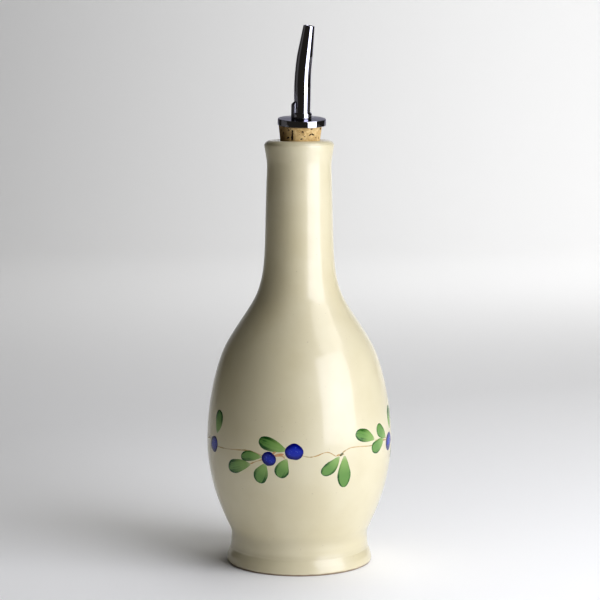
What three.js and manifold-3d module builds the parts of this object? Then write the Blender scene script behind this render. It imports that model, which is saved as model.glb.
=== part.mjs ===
import * as THREE from "three";
import { mergeVertices } from "three/addons/utils/BufferGeometryUtils.js";
import Module from "manifold-3d";

// A glazed stoneware bottle for drizzling oil, shut by a tapered cork that carries a chromed pourer.
// Millimetres, +Z up. The origin is the middle of the foot, on the table, and -Y is the painted front.
// Round pieces are turned about +Z from an outline of (radius, height) points.

const wasm = await Module();
wasm.setup();

// Driving sizes

const foot = {
  recessRadius: 27.5,
  recessDepth: 2.6,
  seatInnerRadius: 30,
  seatOuterRadius: 37.5,
  ringRadius: 38.3,
  ringWidestAt: 1.5,
  flareRadius: 37.7,
  flareAt: 4.5,
  ringNeckRadius: 36.6,
  ringNeckAt: 7.2,
  ringTopRadius: 35.95,
  ringTop: 8.8,
};

const waist = {
  bulgeRadius: 36.15,
  bulgeAt: 12.2,
  topRadius: 35.7,
  top: 16.3,
};

// The body's outline from the waist up to the root of the lip, as radius at height.
const body = [
  { at: 26, radius: 40.1 },
  { at: 38, radius: 44.5 },
  { at: 51, radius: 47.4 },
  { at: 64, radius: 48.5 },
  { at: 80, radius: 47.6 },
  { at: 98, radius: 44.4 },
  { at: 114, radius: 39.1 },
  { at: 128, radius: 30.6 },
  { at: 140, radius: 23.2 },
  { at: 152, radius: 19.4 },
  { at: 168, radius: 18.0 },
  { at: 188, radius: 17.4 },
];

const lip = {
  rootRadius: 16.8,
  rootAt: 209,
  flareRadius: 17.3,
  flareAt: 214,
  radius: 18.15,
  widestAt: 219.3,
  crestRadius: 14.6,
  top: 222.2,
  mouthRadius: 10.7,
  mouthAt: 221.2,
};

const cork = {
  offset: 0.45,
  top: 230.2,
  topRadius: 11.2,
  lipRadius: 10.25,
  lipAt: 221.6,
  neckTaper: 0.07,
  length: 30.8,
  edge: 0.4,
};

// The cork is pushed in a little askew, so the pourer leans to the front and to the right.
const askew = {
  pivotAt: 221.6,
  forward: THREE.MathUtils.degToRad(5.7),
  aside: THREE.MathUtils.degToRad(1),
};

const pourer = {
  offset: 1.2,
};

const flange = {
  radius: 12.5,
  rimTop: 233.5,
  rimEdge: 0.5,
  crownMiddleRadius: 8,
  crownMiddle: 233.75,
  crownTop: 234,
  collarRadius: 5.1,
  collarTop: 236.7,
  collarEdge: 0.6,
};

const spout = {
  radius: 4.28,
  kinkRadius: 4.02,
  tipRadius: 2.9,
  bendStart: 250,
  kinkAt: 266,
  tipAt: 281.6,
  lean: THREE.MathUtils.degToRad(6.9),
  boreRadius: 2.4,
  tipBoreRadius: 2.15,
  tipEdge: 0.25,
};

const vent = {
  radius: 1.5,
  boreRadius: 0.9,
  boreDepth: 3.5,
  reach: 4.6,
  turn: THREE.MathUtils.degToRad(200),
  foot: 233,
  top: 241.9,
  topSlant: THREE.MathUtils.degToRad(35),
  scoopRise: 6.4,
  scoopDepth: 1.3,
};

// Clear gap between pieces that meet, and how far a cutting solid runs past the face that it cuts.
const FIT_GAP = 0.3;
const OVERCUT = 2;

// How finely round pieces are divided, round their axis and along their outline.
const BOTTLE_STEPS = 64;
const STOPPER_STEPS = 48;
const SPOUT_STEPS = 32;
const VENT_STEPS = 20;
const CURVE_STEPS = 2;
const EDGE_STEPS = 4;
const BEND_STEPS = 6;

// Geometry helpers

const at = (radius, height) => new THREE.Vector2(radius, height);

// A quarter of an ellipse that starts level with, or straight under, its centre and turns upwards.
const FROM_UNDER = -Math.PI / 2;
const FROM_SIDE = 0;

function quarterRound(centre, radiusReach, heightReach, start) {
  const points = [];
  for (let i = 0; i <= EDGE_STEPS; i += 1) {
    const angle = start + ((Math.PI / 2) * i) / EDGE_STEPS;
    points.push(
      at(centre.x + radiusReach * Math.cos(angle), centre.y + heightReach * Math.sin(angle)),
    );
  }
  return points;
}

function splineThrough(points) {
  return new THREE.SplineCurve(points).getPoints((points.length - 1) * CURVE_STEPS);
}

// A turned shape, with the lathe's own axis stood upright.
function turned(outline, steps) {
  return new THREE.LatheGeometry(outline, steps).rotateX(Math.PI / 2);
}

function solidOf(geometry) {
  const bare = geometry.clone();
  bare.deleteAttribute("normal");
  bare.deleteAttribute("uv");
  const merged = mergeVertices(bare);
  return new wasm.Manifold(
    new wasm.Mesh({
      numProp: 3,
      vertProperties: merged.attributes.position.array,
      triVerts: new Uint32Array(merged.index.array),
    }),
  );
}

function geometryOf(solid) {
  const mesh = solid.getMesh();
  const geometry = new THREE.BufferGeometry();
  geometry.setAttribute("position", new THREE.BufferAttribute(mesh.vertProperties, 3));
  geometry.setIndex(new THREE.BufferAttribute(mesh.triVerts, 1));
  geometry.computeVertexNormals();
  return geometry;
}

// The solid cylinder that runs from one point to another.
function rodBetween(start, end, radius, steps) {
  const along = new THREE.Vector3().subVectors(end, start);
  const cylinderAxis = new THREE.Vector3(0, 1, 0);
  const turn = new THREE.Quaternion().setFromUnitVectors(cylinderAxis, along.clone().normalize());
  const middle = new THREE.Vector3().lerpVectors(start, end, 0.5);
  return new THREE.CylinderGeometry(radius, radius, along.length(), steps)
    .applyQuaternion(turn)
    .translate(middle.x, middle.y, middle.z);
}

// Leans an upright piece about the lip, to where it stands askew in the neck.
function leant(geometry) {
  return geometry
    .translate(0, 0, -askew.pivotAt)
    .rotateX(askew.forward)
    .rotateY(askew.aside)
    .translate(0, 0, askew.pivotAt);
}

function named(name, geometry, material) {
  const mesh = new THREE.Mesh(geometry, material);
  mesh.name = name;
  return mesh;
}

// Bottle

// The turned foot ring: a flat seat under it, a rounded outer edge and a flare that ends in a groove.
function footOutline() {
  const recess = [
    at(0, foot.recessDepth),
    at(foot.recessRadius, foot.recessDepth),
    at(foot.seatInnerRadius, 0),
  ];
  const edge = quarterRound(
    at(foot.seatOuterRadius, foot.ringWidestAt),
    foot.ringRadius - foot.seatOuterRadius,
    foot.ringWidestAt,
    FROM_UNDER,
  );
  const flare = splineThrough([
    at(foot.ringRadius, foot.ringWidestAt),
    at(foot.flareRadius, foot.flareAt),
    at(foot.ringNeckRadius, foot.ringNeckAt),
    at(foot.ringTopRadius, foot.ringTop),
  ]);
  return [...recess, ...edge, ...flare.slice(1)];
}

// The narrow band between foot and body bulges a little between its two grooves.
function waistOutline() {
  const band = splineThrough([
    at(foot.ringTopRadius, foot.ringTop),
    at(waist.bulgeRadius, waist.bulgeAt),
    at(waist.topRadius, waist.top),
  ]);
  return band.slice(1);
}

// One smooth line from the waist, over belly and shoulder, up the neck to the root of the lip.
function bodyOutline() {
  const stations = [
    at(waist.topRadius, waist.top),
    ...body.map((station) => at(station.radius, station.at)),
    at(lip.rootRadius, lip.rootAt),
  ];
  return splineThrough(stations).slice(1);
}

// The lip flares from the neck and rolls over to the mouth.
function lipOutline() {
  const roll = quarterRound(
    at(lip.crestRadius, lip.widestAt),
    lip.radius - lip.crestRadius,
    lip.top - lip.widestAt,
    FROM_SIDE,
  );
  return [at(lip.flareRadius, lip.flareAt), ...roll, at(lip.mouthRadius, lip.mouthAt), at(0, lip.mouthAt)];
}

// The socket in the neck, which the cork fills and leans with.
function socket() {
  const floor = corkBottom - FIT_GAP;
  const above = lip.top + OVERCUT;
  const outline = [
    at(0, floor),
    at(corkRadiusAt(floor) + FIT_GAP, floor),
    at(corkRadiusAt(above) + FIT_GAP, above),
    at(0, above),
  ];
  return solidOf(leant(turned(outline, STOPPER_STEPS).translate(cork.offset, 0, 0)));
}

function bottleGeometry() {
  const outline = [...footOutline(), ...waistOutline(), ...bodyOutline(), ...lipOutline()];
  return geometryOf(solidOf(turned(outline, BOTTLE_STEPS)).subtract(socket()));
}

// Cork

const corkBottom = cork.top - cork.length;

// The cork flares more above the lip than it does where the neck squeezes it.
function corkRadiusAt(height) {
  const flare = (cork.topRadius - cork.lipRadius) / (cork.top - cork.lipAt);
  const slope = height > cork.lipAt ? flare : cork.neckTaper;
  return cork.lipRadius + slope * (height - cork.lipAt);
}

// The cork tapers into the neck and is bored for the pourer's tube, which stands a little off its middle.
function corkGeometry() {
  const outline = [
    at(0, corkBottom),
    at(corkRadiusAt(corkBottom) - cork.edge, corkBottom),
    at(corkRadiusAt(corkBottom), corkBottom + cork.edge),
    at(cork.lipRadius, cork.lipAt),
    at(cork.topRadius, cork.top - cork.edge),
    at(cork.topRadius - cork.edge, cork.top),
    at(0, cork.top),
  ];
  const plug = solidOf(turned(outline, STOPPER_STEPS).translate(cork.offset, 0, 0));
  const bore = rodBetween(
    new THREE.Vector3(pourer.offset, 0, corkBottom - OVERCUT),
    new THREE.Vector3(pourer.offset, 0, cork.top + OVERCUT),
    spout.radius + FIT_GAP,
    SPOUT_STEPS,
  );
  return geometryOf(plug.subtract(solidOf(bore)));
}

// Pourer flange

// A thick disc, very slightly crowned, with a collar round the spout.
function flangeGeometry() {
  const hole = spout.radius + FIT_GAP;
  const crown = splineThrough([
    at(flange.radius - flange.rimEdge, flange.rimTop),
    at(flange.crownMiddleRadius, flange.crownMiddle),
    at(flange.collarRadius + flange.collarEdge, flange.crownTop),
    at(flange.collarRadius, flange.crownTop + flange.collarEdge),
  ]);
  const outline = [
    at(hole, cork.top),
    at(flange.radius - flange.rimEdge, cork.top),
    at(flange.radius, cork.top + flange.rimEdge),
    at(flange.radius, flange.rimTop - flange.rimEdge),
    ...crown,
    at(flange.collarRadius, flange.collarTop - flange.collarEdge),
    at(flange.collarRadius - flange.collarEdge, flange.collarTop),
    at(hole, flange.collarTop),
    at(hole, cork.top),
  ];
  const disc = solidOf(turned(outline, STOPPER_STEPS).translate(pourer.offset, 0, 0));
  return geometryOf(disc.subtract(solidOf(ventSeat())));
}

// Pourer spout

// Where the middle of the tube runs, and how far it has turned, at a given length along it.
function spoutPath(length) {
  const bendLength = spout.kinkAt - spout.bendStart;
  const past = Math.max(0, length - spout.bendStart);
  const angle = (spout.lean * Math.min(past, bendLength)) / bendLength;
  const bendRadius = bendLength / spout.lean;
  const straight = Math.max(0, past - bendLength);
  return {
    angle,
    shift: bendRadius * (1 - Math.cos(angle)) + straight * Math.sin(angle),
    height: Math.min(length, spout.bendStart) + bendRadius * Math.sin(angle) + straight * Math.cos(angle),
  };
}

// Bends a straight upright tube over towards +X.
function bent(geometry) {
  const position = geometry.attributes.position;
  for (let i = 0; i < position.count; i += 1) {
    const across = position.getX(i);
    const path = spoutPath(position.getZ(i));
    position.setX(i, path.shift + across * Math.cos(path.angle));
    position.setZ(i, path.height - across * Math.sin(path.angle));
  }
  return geometry;
}

// The tube runs from the cork's lower end to the tip, open at both ends, and tapers above its kink.
function spoutOutline() {
  const bendShares = Array.from({ length: BEND_STEPS + 1 }, (_, i) => i / BEND_STEPS);
  const alongBend = (share) => THREE.MathUtils.lerp(spout.bendStart, spout.kinkAt, share);
  const outside = bendShares.map((share) =>
    at(THREE.MathUtils.lerp(spout.radius, spout.kinkRadius, share), alongBend(share)),
  );
  const inside = bendShares.map((share) => at(spout.boreRadius, alongBend(share))).reverse();
  return [
    at(spout.boreRadius, corkBottom),
    at(spout.radius, corkBottom),
    ...outside,
    at(spout.tipRadius, spout.tipAt - spout.tipEdge),
    at(spout.tipRadius - spout.tipEdge, spout.tipAt),
    at(spout.tipBoreRadius, spout.tipAt),
    ...inside,
    at(spout.boreRadius, corkBottom),
  ];
}

function spoutGeometry() {
  const tube = solidOf(bent(turned(spoutOutline(), SPOUT_STEPS)).translate(pourer.offset, 0, 0));
  return geometryOf(tube.subtract(solidOf(ventSeat())).subtract(solidOf(ventScoop())));
}

// Air vent: a short tube that stands in the flange's crown, let into the spout's side.

function ventPoint(height, reach) {
  return new THREE.Vector3(
    pourer.offset + reach * Math.cos(vent.turn),
    reach * Math.sin(vent.turn),
    height,
  );
}

function ventRod(radius, bottom, top) {
  return rodBetween(ventPoint(bottom, vent.reach), ventPoint(top, vent.reach), radius, VENT_STEPS);
}

// The room that the vent's tube needs in the flange and in the spout's wall.
function ventSeat() {
  return ventRod(vent.radius + FIT_GAP, vent.foot - FIT_GAP, vent.top);
}

// The hollow pressed into the spout's wall, which runs out above the vent.
function ventScoop() {
  return rodBetween(
    ventPoint(vent.top - vent.radius, vent.reach - vent.scoopDepth),
    ventPoint(vent.top + vent.scoopRise, spout.radius + vent.radius),
    vent.radius,
    VENT_STEPS,
  );
}

// The vent's blind bore opens at its slanted top, which looks outwards.
function ventGeometry() {
  const above = vent.top + OVERCUT;
  const cutterSide = spout.radius + vent.reach;
  const tube = solidOf(ventRod(vent.radius, vent.foot, above));
  const bore = solidOf(ventRod(vent.boreRadius, vent.top - vent.boreDepth, above));
  const slant = new THREE.BoxGeometry(cutterSide, cutterSide, cutterSide)
    .translate(0, 0, cutterSide / 2)
    .rotateY(vent.topSlant)
    .rotateZ(vent.turn)
    .translate(...ventPoint(vent.top, vent.reach).toArray());
  return geometryOf(tube.subtract(bore).subtract(solidOf(slant)));
}

// Materials

const glaze = new THREE.MeshStandardMaterial({ color: 0xe3dcc4, roughness: 0.18, metalness: 0 });
const corkBark = new THREE.MeshStandardMaterial({ color: 0xc9a566, roughness: 0.9, metalness: 0 });
const chrome = new THREE.MeshStandardMaterial({ color: 0xc8c8cc, roughness: 0.08, metalness: 1 });

// Assembly

const stopper = new THREE.Group();
stopper.add(
  named("cork", leant(corkGeometry()), corkBark),
  named("pourer_flange", leant(flangeGeometry()), chrome),
  named("pourer_spout", leant(spoutGeometry()), chrome),
  named("air_vent", leant(ventGeometry()), chrome),
);

const drizzleBottle = new THREE.Group();
drizzleBottle.add(named("bottle", bottleGeometry(), glaze), stopper);

export default drizzleBottle;
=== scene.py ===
"""Dresses a drizzle bottle: cream glaze with a painted vine, a natural cork and a chrome pourer."""
import bisect
import math
import random

import bmesh
import bpy
from bpy.props import FloatProperty, FloatVectorProperty, IntProperty, PointerProperty
from mathutils import Matrix, Vector, noise


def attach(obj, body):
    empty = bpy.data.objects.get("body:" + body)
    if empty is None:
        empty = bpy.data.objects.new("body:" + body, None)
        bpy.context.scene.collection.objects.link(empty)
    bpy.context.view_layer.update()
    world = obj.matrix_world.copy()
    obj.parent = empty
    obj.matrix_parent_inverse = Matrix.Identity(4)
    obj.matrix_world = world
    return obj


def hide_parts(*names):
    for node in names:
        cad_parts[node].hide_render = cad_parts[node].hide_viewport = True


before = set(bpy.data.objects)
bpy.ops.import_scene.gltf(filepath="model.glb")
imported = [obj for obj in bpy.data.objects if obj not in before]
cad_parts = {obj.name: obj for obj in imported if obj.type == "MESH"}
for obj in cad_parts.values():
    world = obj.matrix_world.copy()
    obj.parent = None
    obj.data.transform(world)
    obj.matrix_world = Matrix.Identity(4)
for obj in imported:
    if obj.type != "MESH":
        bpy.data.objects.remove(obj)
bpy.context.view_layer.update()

bl_info = {
    "name": "Drizzle Bottle",
    "version": (1, 0, 0),
    "blender": (4, 5, 0),
    "location": "View3D > Sidebar > Drizzle Bottle",
    "description": "Glazed oil bottle with a painted vine, a cork and a chrome pourer",
    "category": "Object",
}

MM = 0.001
BODY = "root"
SIDEBAR_TAB = "Drizzle Bottle"


# Sizes and colours

def length_setting(name, millimetres, description):
    return FloatProperty(name=name, description=description, default=millimetres * MM, unit="LENGTH")


def angle_setting(name, degrees, description):
    turn = math.radians(degrees)
    return FloatProperty(name=name, description=description, default=turn, subtype="ANGLE")


def colour_setting(name, colour, description):
    return FloatVectorProperty(name=name, description=description, default=colour, subtype="COLOR", size=3)


def plain_setting(name, value, description):
    return FloatProperty(name=name, description=description, default=value)


class BottleSettings(bpy.types.PropertyGroup):
    """The glazed bottle."""

    recess_radius: length_setting("Recess radius", 27.5, "Radius of the flat recess under the foot")
    recess_depth: length_setting("Recess depth", 2.6, "How far the recess lies above the seat")
    seat_radius: length_setting("Seat inner radius", 30, "Inner edge of the ring that the bottle stands on")
    mouth_radius: length_setting("Mouth radius", 10.35, "Radius of the mouth where it closes round the cork")
    mouth_depth: length_setting("Mouth depth", 23, "How deep the bore that holds the cork is made")
    wobble: length_setting("Throwing wobble", 0.10, "How far the hand-thrown wall strays from round")
    # The dark bare line is partly painted contact shadow where the foot meets the floor.
    bare_foot: length_setting("Bare foot height", 0.7, "Height of the unglazed line round the foot")
    glaze_colour: colour_setting("Glaze", (0.755, 0.685, 0.465), "Cream of the glaze")
    glaze_shade: colour_setting("Glaze shade", (0.715, 0.64, 0.415), "Cream where the glaze lies thicker")
    # This colour darkens the grooves: partly glaze that pools there, partly painted shade.
    pool_and_shade_colour: colour_setting("Pooled glaze", (0.50, 0.44, 0.28), "Glaze that has run into the grooves")
    clay_colour: colour_setting("Clay", (0.30, 0.215, 0.13), "Bare fired clay under the foot")


class PaintSettings(bpy.types.PropertyGroup):
    """The vine painted round the belly."""

    lift: length_setting("Paint thickness", 0.07, "How far a brush stroke stands out of the glaze")
    stem_width: length_setting("Stem width", 0.95, "Width of the vine's thin line")
    seed: IntProperty(
        name="Seed", description="Chooses the small differences between repeated strokes", default=7)
    leaf_dark: colour_setting("Leaf, dark", (0.008, 0.075, 0.008), "Green where the brush was pressed down")
    leaf_middle: colour_setting("Leaf, middle", (0.15, 0.31, 0.075), "Green along the middle of a leaf")
    leaf_pale: colour_setting("Leaf, pale", (0.28, 0.44, 0.13), "Green where the brush was lifted")
    berry_dark: colour_setting("Berry, dark", (0.001, 0.002, 0.13), "Blue at a berry's edge")
    berry_light: colour_setting("Berry, light", (0.004, 0.022, 0.38), "Blue in a berry's middle")
    stem_colour: colour_setting("Stem", (0.36, 0.27, 0.10), "Tan of the vine's line")


class StopperSettings(bpy.types.PropertyGroup):
    """The cork and the pourer."""

    cork_offset: length_setting(
        "Cork offset", 0.45, "How far the cork stands to the right of the bottle's axis")
    pourer_offset: length_setting(
        "Pourer offset", 1.2, "How far the pourer stands to the right of the bottle's axis")
    lip_height: length_setting("Lip height", 221.6, "Height of the lip, about which the cork leans")
    lean_forward: angle_setting("Lean forward", 5.7, "How far the cork leans to the front")
    lean_aside: angle_setting("Lean aside", 1, "How far the cork leans to the right")
    pit_depth: length_setting("Pit depth", 0.9, "Depth of the deepest pits in the cork")
    spout_radius: length_setting("Spout radius", 4.28, "Outer radius of the spout's straight part")
    kink_radius: length_setting("Kink radius", 4.02, "Outer radius where the spout begins to taper")
    tip_radius: length_setting("Tip radius", 2.9, "Outer radius of the spout's tip")
    tip_bore: length_setting("Tip bore", 2.15, "Radius of the opening in the tip")
    bend_start: length_setting("Bend start", 250, "Height where the spout starts to bend over")
    kink_height: length_setting(
        "Kink", 266, "Length along the spout where the bend ends and the taper starts")
    tip_height: length_setting("Tip", 281.6, "Length along the spout of its tip")
    bend: angle_setting("Bend", 6.9, "How far the spout bends over")
    vent_radius: length_setting("Vent radius", 1.5, "Outer radius of the air vent's tube")
    vent_bore: length_setting("Vent bore", 0.95, "Radius of the air vent's hole")
    vent_reach: length_setting("Vent reach", 4.6, "Distance from the spout's middle to the vent's")
    vent_turn: angle_setting("Vent turn", 200, "Direction of the vent, from +X towards +Y")
    vent_top: length_setting("Vent top", 241.9, "Height of the middle of the vent's slanted opening")
    cork_light: colour_setting("Cork, light", (0.84, 0.64, 0.32), "Light grain of the cork")
    cork_dark: colour_setting("Cork, dark", (0.58, 0.38, 0.15), "Dark grain of the cork")
    # The cork's darker left side is painted shade, away from the lights.
    side_shade_colour: colour_setting(
        "Cork, stained", (0.30, 0.19, 0.075), "Left side of the cork, darkened by oil")
    pit_colour: colour_setting("Cork pits", (0.055, 0.025, 0.010), "Inside of the cork's pits and cracks")
    chrome_colour: colour_setting("Chrome", (0.68, 0.67, 0.76), "Colour that the chrome reflects")


class StageSettings(bpy.types.PropertyGroup):
    """Floor, lights and camera."""

    camera_distance: length_setting("Camera distance", 1083, "Level distance from the bottle's axis")
    camera_height: length_setting("Camera height", 274, "Height above the floor")
    camera_tilt: angle_setting("Camera tilt", 7.129, "How far the camera looks down")
    camera_aside: length_setting("Camera aside", 0.42, "How far the camera stands to the right of the axis")
    lens: plain_setting("Lens", 124.98, "Focal length in millimetres for a 36 mm wide sensor")
    floor_colour: colour_setting("Floor", (0.80, 0.80, 0.80), "Pale floor and backdrop")
    key_power: plain_setting("Key power", 5.4, "Softbox at the right front, in watts")
    high_power: plain_setting("High power", 2.6, "Smaller softbox above and to the right, in watts")
    card_power: plain_setting("Card power", 0.1, "Glow of the card that the chrome reflects on its left")
    floor_key_power: plain_setting(
        "Floor key power", 3.1, "The softbox's extra light on the floor, in watts")
    wash_power: plain_setting("Backdrop power", 17.0, "Light on the backdrop, in watts")
    floor_power: plain_setting("Floor power", 4.6, "Soft light on the floor from above, in watts")
    front_power: plain_setting("Front power", 0.25, "Small light on the floor before the bottle, in watts")


# Mesh helpers

def link(name, mesh):
    """A new object at the origin that holds the mesh."""
    piece = bpy.data.objects.new(name, mesh)
    bpy.context.scene.collection.objects.link(piece)
    return piece


def smooth_mesh(bm, name, material):
    """Turns a bmesh into a smooth-shaded mesh of one material."""
    mesh = bpy.data.meshes.new(name)
    bm.to_mesh(mesh)
    bm.free()
    mesh.polygons.foreach_set("use_smooth", [True] * len(mesh.polygons))
    mesh.materials.append(material)
    return mesh


def finish_piece(bm, name, material, replaced=(), crease=math.radians(40)):
    """Turns a bmesh into a smooth-shaded piece that rides on the bottle's body."""
    mesh = smooth_mesh(bm, name, material)
    mesh.set_sharp_from_angle(angle=crease)
    piece = link(name, mesh)
    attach(piece, BODY)
    if replaced:
        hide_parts(*replaced)
    return piece


def smooth_line(points, steps):
    """A Catmull-Rom curve through (radius, height) points."""
    line = []
    last = len(points) - 1
    for i in range(last):
        before = points[max(i - 1, 0)]
        start, end = points[i], points[i + 1]
        after = points[min(i + 2, last)]
        for step in range(steps):
            t = step / steps
            line.append(tuple(catmull(before[k], start[k], end[k], after[k], t) for k in (0, 1)))
    line.append(points[last])
    return line


def catmull(before, start, end, after, t):
    """One coordinate of a Catmull-Rom curve at t between start and end."""
    leave = (end - before) / 2
    arrive = (after - start) / 2
    cubic = 2 * start - 2 * end + leave + arrive
    square = -3 * start + 3 * end - 2 * leave - arrive
    return ((cubic * t + square) * t + leave) * t + start


def divided(start, end, steps):
    """Evenly spaced (radius, height) points from the start up to, and without, the end."""
    (radius_a, height_a), (radius_b, height_b) = start, end
    shares = [step / steps for step in range(steps)]
    return [(radius_a + (radius_b - radius_a) * share, height_a + (height_b - height_a) * share)
            for share in shares]


def heading(angle):
    """The unit vector that points in a direction."""
    return Vector((math.cos(angle), math.sin(angle)))


def lean_matrix(settings):
    """Turns an upright piece of the stopper about the lip, to where it stands askew in the neck."""
    pivot = Matrix.Translation((0, 0, settings.lip_height))
    forward = Matrix.Rotation(settings.lean_forward, 4, "X")
    aside = Matrix.Rotation(settings.lean_aside, 4, "Y")
    return pivot @ aside @ forward @ pivot.inverted()


def set_in_neck(bm, settings, offset):
    """Moves an upright piece of the stopper aside and leans it with the cork."""
    bmesh.ops.translate(bm, verts=bm.verts, vec=offset)
    bmesh.ops.transform(bm, matrix=lean_matrix(settings), verts=bm.verts)


def outward_wall(node, middle=0.0, lean=None, least_facing=0.05):
    """Outer outline of a turned CAD node, as (radius, height) points from the bottom up.

    Only faces that look away from the axis count, so bores and recesses are left out."""
    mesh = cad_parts[node].data
    upright = lean.inverted() if lean else Matrix.Identity(4)
    rings = {}
    for face in mesh.polygons:
        center = upright @ face.center
        normal = upright.to_3x3() @ face.normal
        away = Vector((center.x - middle, center.y))
        if away.length == 0 or normal.xy.dot(away.normalized()) < least_facing:
            continue
        for index in face.vertices:
            spot = upright @ mesh.vertices[index].co
            height = round(spot.z, 5)
            radius = math.hypot(spot.x - middle, spot.y)
            rings[height] = max(rings.get(height, 0.0), radius)
    return [(rings[height], height) for height in sorted(rings)]


def turn_outline(bm, outline, steps):
    """Spins an outline of (radius, height) points once round the Z axis."""
    chain = [bm.verts.new((radius, 0, height)) for radius, height in outline]
    edges = [bm.edges.new(pair) for pair in zip(chain, chain[1:])]
    bmesh.ops.spin(
        bm, geom=chain + edges, cent=(0, 0, 0), axis=(0, 0, 1), angle=2 * math.pi, steps=steps,
        use_merge=True, use_duplicate=False)
    bmesh.ops.remove_doubles(bm, verts=bm.verts, dist=1e-7)
    bmesh.ops.recalc_face_normals(bm, faces=bm.faces)


# Material helper

class Finish:
    """A material under construction."""

    def __init__(self, name):
        self.material = bpy.data.materials.new(name)
        self.material.use_nodes = True
        self.tree = self.material.node_tree
        self.shader = self.tree.nodes["Principled BSDF"]

    def node(self, kind, inputs, **settings):
        """Adds a node. A value that is a socket is joined, and any other is set."""
        made = self.tree.nodes.new(kind)
        for key, value in settings.items():
            setattr(made, key, value)
        for key, value in inputs.items():
            self.feed(made.inputs[key], value)
        return made

    def feed(self, socket, value):
        if isinstance(value, bpy.types.NodeSocket):
            self.tree.links.new(value, socket)
        elif socket.type == "RGBA" and len(value) == 3:
            socket.default_value = (*value, 1.0)
        else:
            socket.default_value = value

    def surface(self, **inputs):
        """Sets the shader's own sockets, with underscores for the spaces in their names."""
        for key, value in inputs.items():
            self.feed(self.shader.inputs[key.replace("_", " ")], value)

    def coordinates(self):
        """The place on the piece, in metres."""
        return self.node("ShaderNodeTexCoord", {}).outputs["Object"]

    def noise(self, where, scale, detail=2.0, roughness=0.5, stretch=(1, 1, 1)):
        """Noise in 0 to 1, with a scale in cells per metre and a stretch on each axis."""
        spread = self.node("ShaderNodeMapping", {"Vector": where, "Scale": stretch})
        return self.node(
            "ShaderNodeTexNoise",
            {"Vector": spread.outputs["Vector"], "Scale": scale, "Detail": detail, "Roughness": roughness},
        ).outputs["Fac"]

    def ramp(self, value, low, high, first=0.0, last=1.0):
        """Goes smoothly from first to last while the value goes from low to high."""
        return self.node(
            "ShaderNodeMapRange",
            {"Value": value, "From Min": low, "From Max": high, "To Min": first, "To Max": last},
            interpolation_type="SMOOTHSTEP").outputs["Result"]

    def mix(self, share, first, second):
        """Goes from the first colour to the second. The numbers are the node's colour sockets."""
        inputs = {"Factor": share, 6: first, 7: second}
        return self.node("ShaderNodeMix", inputs, data_type="RGBA").outputs[2]

    def math(self, operation, first, second):
        return self.node("ShaderNodeMath", {0: first, 1: second}, operation=operation).outputs[0]

    def add(self, first, second):
        return self.math("ADD", first, second)

    def times(self, first, second):
        return self.math("MULTIPLY", first, second)

    def sway(self, value, weight=1.0, middle=0.5):
        """A value counted from the middle of its range and then weighted."""
        return self.times(self.math("SUBTRACT", value, middle), weight)

    def distance(self, value, middle):
        """How far a value is from the middle, on either side."""
        return self.math("ABSOLUTE", self.math("SUBTRACT", value, middle), 0.0)

    def axis(self, where, name):
        return self.node("ShaderNodeSeparateXYZ", {"Vector": where}).outputs[name]

    def stroke(self):
        """The place on a brush stroke, from its thin end along X and across it along Y."""
        return self.node("ShaderNodeUVMap", {}, uv_map="UVMap").outputs["UV"]

    def attribute(self, name):
        return self.node("ShaderNodeAttribute", {}, attribute_name=name).outputs["Fac"]

    def relief(self, height, distance, under=None):
        """Bump from a height in 0 to 1 that stands for a distance in metres."""
        inputs = {"Height": height, "Distance": distance, "Strength": 1.0}
        if under is not None:
            inputs["Normal"] = under
        return self.node("ShaderNodeBump", inputs).outputs["Normal"]

    def band(self, value, middle, half):
        """1 on the middle, and falls to 0 at half the width on either side."""
        return self.ramp(self.distance(value, middle), 0.0, half, 1.0, 0.0)


# The bottle's wall

# The socket's floor tilts with the cork, so part of it looks 0.10 away from the axis; the lip's top
# looks 0.14 away.
WALL_FACING = 0.12


class Wall:
    """The outer wall of the bottle, which the glaze covers and the brush strokes lie on."""

    def __init__(self, settings):
        self.outline = smooth_line(outward_wall("bottle", least_facing=WALL_FACING), steps=5)
        self.heights = [height for _, height in self.outline]
        self.outline = self.softened(low=6 * MM, high=21 * MM, reach=2.6 * MM)
        self.wobble = settings.wobble

    def softened(self, low, high, reach):
        """The outline with each radius between two heights averaged over its neighbours."""
        steps = 6
        line = []
        for radius, height in self.outline:
            if low < height < high:
                near = min(reach, height - low, high - height) / steps
                spread = [self.radius(height + near * step) for step in range(-steps, steps + 1)]
                radius = sum(spread) / len(spread)
            line.append((radius, height))
        return line

    def radius(self, height):
        after = min(max(bisect.bisect_left(self.heights, height), 1), len(self.outline) - 1)
        (radius_a, height_a), (radius_b, height_b) = self.outline[after - 1], self.outline[after]
        share = (height - height_a) / (height_b - height_a)
        return radius_a + (radius_b - radius_a) * share

    def stray(self, angle, height):
        """How far the hand-thrown wall strays from round."""
        across, along = 55, 28
        spot = Vector((math.cos(angle) * 1.3, math.sin(angle) * 1.3, height * along))
        ring = Vector((7.1, 3.3, height * across))
        return self.wobble * (noise.noise(spot) + 0.5 * noise.noise(ring))

    def place(self, angle, height, lift=0.0):
        """The point at an angle from the front, towards the right, and a height."""
        probe = 0.5 * MM
        slope = (self.radius(height + probe) - self.radius(height - probe)) / (2 * probe)
        level = 1 / math.hypot(1, slope)
        radius = self.radius(height) + self.stray(angle, height) + lift * level
        return Vector((radius * math.sin(angle), -radius * math.cos(angle), height - lift * slope * level))


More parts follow.
